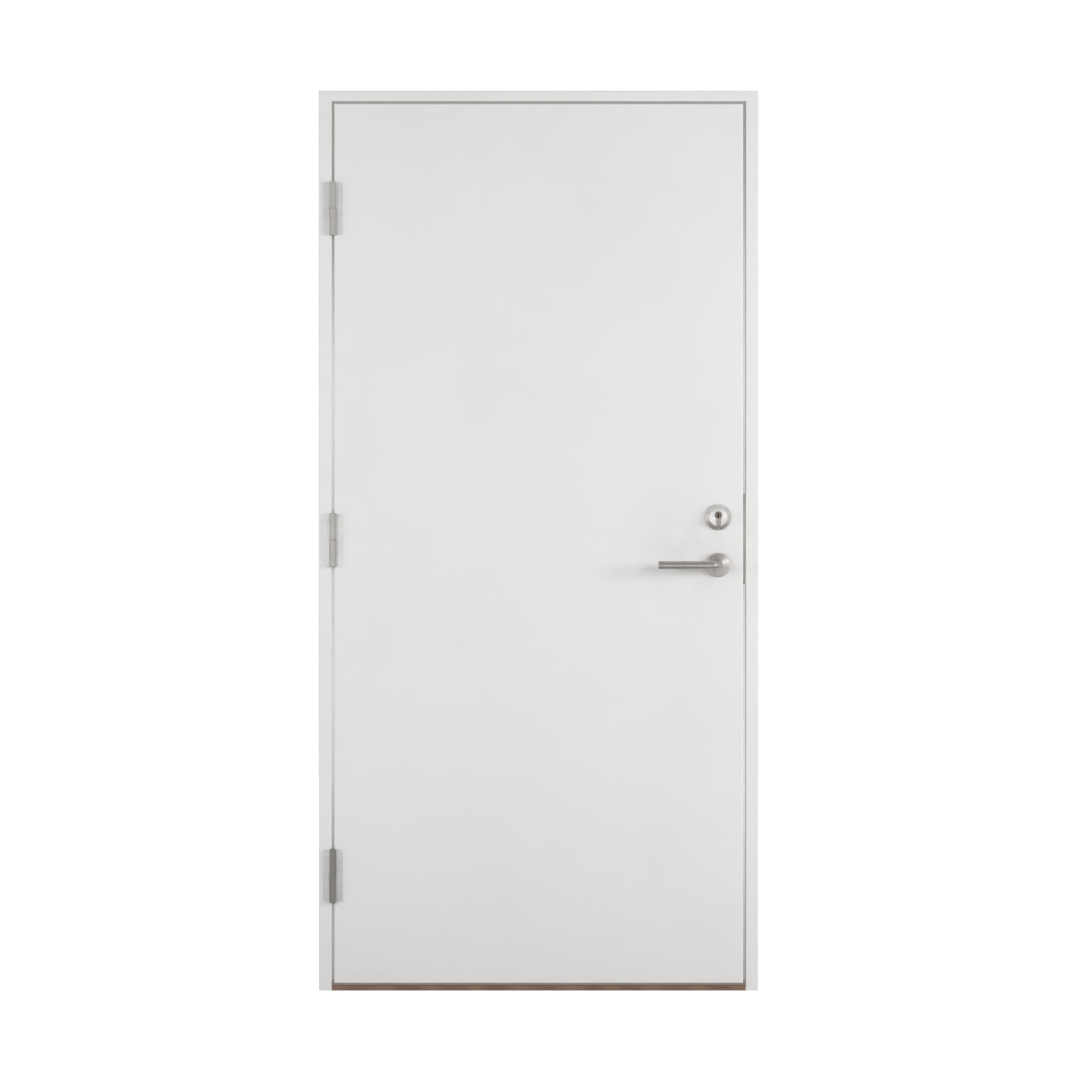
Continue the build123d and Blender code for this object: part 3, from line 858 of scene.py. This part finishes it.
@dataclass(frozen=True)
class SocketScrew:
    """Small headless screw with a socket for a key, flush with what it clamps."""

    radius: float = 0.0026
    socket: float = 0.0013
    proud: float = 0.00045
    segments: int = 24
    socket_sides: int = 6

    def outlines(self) -> list[tuple[Outline, float]]:
        """Return the foot, the brim, the socket's lip and its floor, each with its height."""
        outer = circle(self.radius, self.segments)
        inner = circle(self.socket, self.socket_sides)
        return [(outer, -self.proud), (outer, self.proud), (inner, self.proud), (inner, 0.0)]


def add_screws(
    name: str, screw: CrossScrew | SocketScrew, places: list[Matrix], body: str,
    materials: list[Material],
) -> None:
    """Make one piece of several like screws, with number 1 on the faces in their recesses, which
    carry painted shade.

    Args:
        name: The piece's name.
        screw: The screw that repeats.
        places: Where each one stands.
        body: The body that they move with.
        materials: The finish of their heads, and the painted shade of their recesses.
    """
    mesh = bmesh.new()
    for placement in places:
        foot, brim, lip, floor = [
            [mesh.verts.new((x, y, height)) for x, y in outline]
            for outline, height in screw.outlines()
        ]
        add_wall(mesh, foot, brim)
        # The recess faces take the painted shade.
        for face in (*add_wall(mesh, lip, floor), mesh.faces.new(floor)):
            face.material_index = 1
        pairs = [ends for ring in (brim, lip) for ends in zip(ring, following(ring))]
        edges = [mesh.edges.get(ends) for ends in pairs]
        bmesh.ops.triangle_fill(mesh, edges=edges, use_beauty=True)
        bmesh.ops.transform(mesh, matrix=placement, verts=foot + brim + lip + floor)
    bmesh.ops.recalc_face_normals(mesh, faces=mesh.faces)
    ride(add_object(name, mesh, materials), body)


class Finishes:
    """The finishes that several assemblies share, each made once."""

    def __init__(self) -> None:
        """Make the paint, the rubber, and the two finishes of every screw: plated metal on the
        heads and painted shade in the recesses.
        """
        self.paint = Paint("white satin paint").material()
        self.rubber = Rubber("grey seal rubber").material()
        plated = Metal(
            "plated screws", (0.62, 0.61, 0.59), (0.50, 0.48, 0.45), Polish.BLASTED, roughness=0.3
        )
        # The second finish of a screw is painted shade for its recess.
        self.screws = [plated.material(), Shadowed("screw recess").material()]


@dataclass
class FrameDressing:
    """The fixed frame: jambs, head, threshold, seals, sleeves and strike."""

    finishes: Finishes
    strike_screw_inset: float = 0.013
    strike_front_row: float = 0.0105
    strike_back_row: float = 0.031
    between_pockets: float = 1.004

    def add_strike_screws(self) -> None:
        """Add the strike plate's screws."""
        low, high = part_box("strike_plate")
        inset = self.strike_screw_inset
        front = low.y + self.strike_front_row
        back = low.y + self.strike_back_row
        bottom, top = low.z + inset, high.z - inset
        spots = [(back, bottom), (back, top), (back, self.between_pockets)]
        spots += [(front, bottom + inset), (front, top - inset)]
        places = [facing(Vector((low.x, y, z)), Vector((-1, 0, 0))) for y, z in spots]
        add_screws(
            "strike_screws", CrossScrew(), places, "frame", self.finishes.screws
        )

    def build(self) -> None:
        """Dress the frame and add its small fittings."""
        dress(self.finishes.paint, "hinge_jamb", "lock_jamb", "head")
        dress(
            self.finishes.rubber, "hinge_side_seal", "lock_side_seal", "head_seal", "threshold_seal"
        )
        dress(Hardwood("dark oiled hardwood").material(), "threshold")
        zinc = Metal(
            "plated sleeves", (0.60, 0.60, 0.57), (0.47, 0.46, 0.42), Polish.BLASTED, roughness=0.36
        )
        dress(zinc.material(), "hinge_jamb_sleeves", "lock_jamb_sleeves")
        plate = Metal(
            "satin strike", (0.70, 0.69, 0.67), (0.62, 0.61, 0.59), Polish.ALONG_Z, roughness=0.36
        )
        dress(plate.material(), "strike_plate")
        self.add_strike_screws()


@dataclass
class HingeDressing:
    """The three lift-off hinges, each with a frame half, a leaf half and a pin."""

    finishes: Finishes
    screw_offsets: tuple[float, ...] = (-0.045, -0.017, 0.017, 0.045)
    near_row: float = 0.012
    far_row: float = 0.025
    barrel_before_jamb: float = 0.0045

    def materials(self) -> tuple[Material, Material]:
        """Return the finishes of the halves and of the pins."""
        # The barrel of each half is coloured with painted shade, darker towards the floor.
        barrel = Barrel(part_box("hinge_jamb")[0].y - self.barrel_before_jamb)
        halves = Metal(
            "satin zinc hinges", (0.67, 0.66, 0.65), (0.61, 0.60, 0.59), Polish.ALONG_Z,
            roughness=0.4, metallic=0.55, barrel=barrel,
        )
        pins = Metal(
            "oiled pins", (0.32, 0.31, 0.29), (0.24, 0.23, 0.21), Polish.BLASTED, roughness=0.3
        )
        return halves.material(), pins.material()

    def screw_places(self, leg_face: float, middle: float, way: int) -> list[Matrix]:
        """Return where one leg's screws stand, in a zigzag.

        Args:
            leg_face: The X of the leg's open face.
            middle: The height of the hinge's middle.
            way: 1 if the leg faces along X, and -1 if it faces back.

        Returns:
            One placement for each screw.
        """
        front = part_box("hinge_jamb")[0].y
        places = []
        for i, offset in enumerate(self.screw_offsets):
            row = self.near_row if i % 2 else self.far_row
            point = Vector((leg_face, front + row, middle + offset))
            places.append(facing(point, Vector((way, 0, 0))))
        return places

    def build(self) -> None:
        """Dress each hinge and add the screws in its legs."""
        halves, pins = self.materials()
        for height in HINGE_HEIGHTS:
            dress(halves, f"frame_hinge_{height}", f"leaf_hinge_{height}")
            dress(pins, f"hinge_pin_{height}")
            axis, _, middle = front_centre(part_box(f"hinge_pin_{height}"))
            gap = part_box("front_skin")[0].x - axis
            for body, way in (("frame", 1), ("leaf", -1)):
                name = f"{body}_hinge_screws_{height}"
                places = self.screw_places(axis - way * gap, middle, way)
                add_screws(name, CrossScrew(), places, body, self.finishes.screws)


@dataclass
class LeafDressing:
    """The leaf: its core, two skins and four lippings, with a lip seal round its front edge."""

    finishes: Finishes
    hinge_margin: float = 0.0005
    # Height where the lip seal has no painted shade; it darkens above and below.
    lip_unshaded_height: float = 0.93
    lip_section: tuple[Span, ...] = (
        (-0.0010, 0.0040), (0.0006, 0.0031), (0.0018, 0.0024), (0.0031, 0.0019),
        (0.0042, 0.0018), (0.0046, 0.0021), (0.0045, 0.0026), (0.0034, 0.0029),
        (0.0022, 0.0034), (0.0012, 0.0044), (0.0006, 0.0058), (-0.0010, 0.0064),
    )

    def lip_runs(self) -> list[list[tuple[float, float, float, float]]]:
        """Return the seal's runs, which stop at the hinges.

        Returns:
            Runs of corners, each with X, Z and the way outwards there in X and Z. The first
            run is beside the strike.
        """
        low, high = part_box("front_skin")
        hinges = [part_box(f"leaf_hinge_{height}") for height in HINGE_HEIGHTS]
        legs = [(box[0].z - self.hinge_margin, box[1].z + self.hinge_margin) for box in hinges]
        strike = [corner.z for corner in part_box("strike_plate")]
        below_lock = [
            (low.x, legs[0][0], -1.0, 0.0),
            (low.x, low.z, -1.0, -1.0),
            (high.x, low.z, 1.0, -1.0),
            (high.x, strike[0], 1.0, 0.0),
        ]
        above_lock = [
            (high.x, strike[1], 1.0, 0.0),
            (high.x, high.z, 1.0, 1.0),
            (low.x, high.z, -1.0, 1.0),
            (low.x, legs[-1][1], -1.0, 0.0),
        ]
        beside_strike = [(high.x, strike[0], 1.0, 0.0), (high.x, strike[1], 1.0, 0.0)]
        between_hinges = [
            [(low.x, below[1], -1.0, 0.0), (low.x, above[0], -1.0, 0.0)]
            for below, above in zip(legs, legs[1:])
        ]
        return [beside_strike, below_lock, above_lock, *between_hinges]

    def add_lip_seal(self) -> None:
        """Add the soft lip that closes the seam just behind the leaf's face."""
        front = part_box("front_skin")[0].y
        mesh = bmesh.new()
        for number, run in enumerate(self.lip_runs()):
            rings = [
                [
                    mesh.verts.new((x + out_x * u, front + v, z + out_z * u))
                    for u, v in self.lip_section
                ]
                for x, z, out_x, out_z in run
            ]
            walls = [add_wall(mesh, near, far) for near, far in zip(rings, rings[1:])]
            sides = [side for wall in walls for side in wall]
            for side in sides:
                side.smooth = True
            for face in (*sides, mesh.faces.new(rings[0]), mesh.faces.new(rings[-1])):
                # The run beside the strike takes the darker rubber, painted shade of the seam at
                # the lock.
                face.material_index = int(number == 0)
        bmesh.ops.recalc_face_normals(mesh, faces=mesh.faces)
        # The lip's colour carries painted shade away from that height, and mud with painted shadow
        # at its foot.
        lip = Rubber(
            "lip rubber", (0.88, 0.875, 0.865), (0.84, 0.83, 0.815),
            unshaded_height=self.lip_unshaded_height,
        )
        # Painted shade: a darker rubber beside the strike, where the seam is shaded.
        oiled = Rubber("strike-side shaded lip rubber", (0.52, 0.51, 0.49), (0.46, 0.45, 0.43))
        materials = [lip.material(), oiled.material()]
        ride(add_object("leaf_lip_seal", mesh, materials), "leaf")

    def build(self) -> None:
        """Give each piece of the leaf its finish and add the lip seal."""
        dress(
            self.finishes.paint, "front_skin", "back_skin",
            "hinge_edge_lipping", "lock_edge_lipping", "top_lipping", "bottom_lipping",
        )
        dress(PressedBoard("pressed board").material(), "leaf_core")
        self.add_lip_seal()


@dataclass
class LockDressing:
    """The mortise lock, its cylinder with the turning plug, and the two rings."""

    finishes: Finishes
    forend_screw_inset: float = 0.012
    cylinder_screw_below_plug: float = 0.0055
    edge_bevel_degrees: float = 3.0

    def build(self) -> None:
        """Dress the lock and add the screws in its forend."""
        forend = Metal(
            "satin forend", (0.60, 0.59, 0.57), (0.52, 0.51, 0.49), Polish.ALONG_Z, roughness=0.28
        )
        dress(forend.material(), "lock_case")
        bolts = Metal(
            "nickelled bolts", (0.66, 0.64, 0.60), (0.55, 0.53, 0.49), Polish.ALONG_Z,
            roughness=0.22,
        )
        dress(bolts.material(), "latch_bolt", "deadbolt")
        centre = front_centre(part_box("key_plug"))
        # Nickelled brass, its colour darkened by painted shade for the ring's recess.
        body = Metal(
            "nickelled brass", (0.36, 0.34, 0.315), (0.28, 0.26, 0.235), Polish.TURNED,
            roughness=0.36, centre=centre,
        )
        dress(body.material(), "lock_cylinder")
        # Painted shade: the plug is near-black for the shadow in the ring's recess.
        plug = Metal(
            "shade-darkened plug", (0.17, 0.145, 0.125), (0.12, 0.10, 0.085), Polish.TURNED,
            roughness=0.4, centre=centre,
        )
        dress(plug.material(), "key_plug")
        ring = Metal(
            "satin rings", (0.68, 0.67, 0.66), (0.60, 0.585, 0.57), Polish.TURNED,
            roughness=0.34, centre=front_centre(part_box("front_cylinder_ring")), stretch=0.4,
        )
        dress(ring.material(), "front_cylinder_ring", "back_cylinder_ring")
        self.add_forend_screws()

    def add_forend_screws(self) -> None:
        """Add the two screws that hold the forend, and the one that holds the cylinder."""
        low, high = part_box("lock_case")
        latch_low, latch_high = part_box("latch_bolt")
        angle = math.radians(self.edge_bevel_degrees)
        outwards = Vector((math.cos(angle), math.sin(angle), 0))
        middle_y = (latch_low.y + latch_high.y) / 2
        face_x = latch_high.x - math.tan(angle) * (latch_high.y - middle_y)
        plug_height = front_centre(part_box("key_plug"))[2]
        heights = (
            low.z + self.forend_screw_inset,
            high.z - self.forend_screw_inset,
            plug_height - self.cylinder_screw_below_plug,
        )
        places = [facing(Vector((face_x, middle_y, z)), outwards) for z in heights]
        add_screws(
            "forend_screws", CrossScrew(), places, "leaf", self.finishes.screws
        )


@dataclass
class LeverDressing:
    """The two levers on their roses, and the spindle that joins them."""

    finishes: Finishes
    grub_screw_from_door: float = 0.018

    def build(self) -> None:
        """Dress the levers and roses and add the screws that clamp the levers."""
        centre = front_centre(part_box("front_rose"))
        steel = Metal(
            "brushed levers", (0.485, 0.46, 0.44), (0.425, 0.40, 0.38), Polish.BENT,
            roughness=0.38, bend_x=centre[0], stretch=0.6,
        )
        dress(steel.material(), "front_lever", "back_lever")
        spindle = Metal(
            "zinc spindle", (0.45, 0.44, 0.42), (0.36, 0.35, 0.33), Polish.ALONG_Y, roughness=0.35
        )
        dress(spindle.material(), "lever_spindle")
        turned = Metal(
            "turned roses", (0.66, 0.64, 0.62), (0.60, 0.58, 0.56), Polish.TURNED,
            roughness=0.43, centre=centre, stretch=0.93, crown=3.4,
        )
        dress(turned.material(), "front_rose", "back_rose")
        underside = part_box("front_lever")[0].z
        depths = (
            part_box("front_skin")[0].y - self.grub_screw_from_door,
            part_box("back_skin")[1].y + self.grub_screw_from_door,
        )
        places = [facing(Vector((centre[0], y, underside)), Vector((0, 0, -1))) for y in depths]
        add_screws(
            "lever_grub_screws", SocketScrew(), places, "lever_handles",
            self.finishes.screws,
        )


@dataclass(frozen=True)
class Lamp:
    """One soft rectangular lamp; a crossed polarising sheet keeps some out of the gloss."""

    name: str
    place: Point
    target: Point
    size: Span
    watts: float
    mirrored: bool = True

    def hang(self) -> None:
        """Add the lamp to the scene."""
        data = bpy.data.lights.new(self.name, "AREA")
        data.shape = "RECTANGLE"
        data.size, data.size_y = self.size
        data.energy = self.watts
        lamp = bpy.data.objects.new(self.name, data)
        lamp.location = self.place
        way = Vector(self.target) - Vector(self.place)
        lamp.rotation_euler = way.to_track_quat("-Z", "Y").to_euler()
        lamp.visible_glossy = self.mirrored
        bpy.context.scene.collection.objects.link(lamp)


@dataclass
class Studio:
    """The pale floor, the soft lamps and the camera."""

    view_width: float = 2.43
    distance: float = 6.0
    aim_x: float = 0.4979
    aim_z: float = 1.0139
    sensor: float = 36.0
    floor_half: float = 9.0
    floor_colour: Colour = (0.62, 0.62, 0.62)
    floor_roughness: float = 0.9
    floor_glow: float = 0.72
    surround: float = 0.423
    cloth: tuple[Colour, Colour] = ((0.10, 0.09, 0.08), (0.07, 0.06, 0.053))
    cloth_weave: float = 300.0
    cloth_roughness: float = 0.95
    flag_width: float = 7.0
    flags: tuple[tuple[str, float, float, float], ...] = (
        ("low_flag", -0.5, 0.9, 0.004), ("high_flag", -2.9, 4.0, 2.4),
    )
    lamps: tuple[Lamp, ...] = (
        Lamp("key", (4.4, -1.8, 1.55), (0.75, 0.0, 1.05), (1.0, 1.2), 70.0, mirrored=False),
        Lamp("fill", (-3.4, -1.9, 1.3), (0.3, 0.0, 1.0), (1.2, 1.6), 24.7, mirrored=False),
        Lamp("front_right", (2.4, -2.6, 1.45), (0.7, 0.0, 1.3), (1.2, 0.9), 18.4),
        Lamp("front_left", (-1.3, -2.6, 1.45), (0.4, 0.0, 1.3), (1.2, 0.9), 19.4),
        Lamp("behind", (0.9, 3.6, 3.2), (0.45, 0.0, 1.0), (1.6, 1.6), 70.0),
    )

    def seen(self, graph: Graph) -> NodeSocket:
        """Return 1 for rays from the camera, off gloss or through glass, and 0 for the rest."""
        path = graph.add("LightPath").outputs
        pair = graph.math("ADD", path["Is Camera Ray"], path["Is Glossy Ray"])
        return graph.math("ADD", pair, path["Is Transmission Ray"], clamp=True)

    def build_world(self) -> None:
        """Make the surroundings: white to the eye, and plain soft light to the door."""
        world = bpy.data.worlds.new("soft surroundings")
        bpy.context.scene.world = world
        world.use_nodes = True
        graph = Graph(world.node_tree, "Background")
        graph.set("Color", WHITE)
        strength = graph.add_product(self.seen(graph), 1.0 - self.surround, self.surround)
        graph.set("Strength", strength)

    def sheet(self, name: str, half: float, material: Material) -> Object:
        """Return a new level square at the middle of the view, half its side given."""
        mesh = bmesh.new()
        bmesh.ops.create_grid(mesh, x_segments=1, y_segments=1, size=half)
        level = add_object(name, mesh, [material])
        level.location = (self.aim_x, 0.0, 0.0)
        return level

    def build_floor(self) -> None:
        """Make the floor, which shows white and keeps the door's shadow."""
        material, graph = start_material("pale floor")
        graph.set("Base Color", self.floor_colour)
        graph.set("Roughness", self.floor_roughness)
        graph.set("Emission Color", WHITE)
        glow = graph.math("MULTIPLY", self.seen(graph), self.floor_glow)
        graph.set("Emission Strength", glow)
        floor = self.sheet("floor", self.floor_half, material)

    def build_flags(self) -> None:
        """Hang dark studio flags low and high in front, which only reflections show."""
        material, graph = start_material("dark_cloth")
        weave = graph.use(stipple(), {"Scale": self.cloth_weave})["Height"]
        graph.set("Base Color", graph.blend(weave, *self.cloth))
        graph.set("Roughness", self.cloth_roughness)
        for name, depth, length, height in self.flags:
            flag = self.sheet(name, 0.5, material)
            flag.scale = (self.flag_width, length, 1.0)
            flag.location = (self.aim_x, depth, height)
            flag.visible_camera = False
            flag.visible_diffuse = False
            flag.visible_transmission = False
            flag.visible_shadow = False

    def build_camera(self) -> None:
        """Set the camera square to the door, at the photograph's distance and framing."""
        data = bpy.data.cameras.new("camera")
        data.sensor_width = self.sensor
        data.lens = self.sensor * self.distance / self.view_width
        camera = bpy.data.objects.new("camera", data)
        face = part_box("front_skin")[0].y
        camera.location = (self.aim_x, face - self.distance, self.aim_z)
        camera.rotation_euler = (math.pi / 2, 0.0, 0.0)
        bpy.context.scene.collection.objects.link(camera)
        bpy.context.scene.camera = camera

    def build(self) -> None:
        """Build everything round the door."""
        self.build_world()
        self.build_floor()
        self.build_flags()
        for lamp in self.lamps:
            lamp.hang()
        self.build_camera()
        bpy.context.scene.view_settings.view_transform = "Standard"


def main() -> None:
    """Dress the doorset, light it and set the camera."""
    logging.basicConfig(level=logging.INFO, format="%(message)s")
    finishes = Finishes()
    for assembly in (FrameDressing, HingeDressing, LeafDressing, LockDressing, LeverDressing):
        assembly(finishes).build()
    Studio().build()


if __name__ == "__main__":
    main()
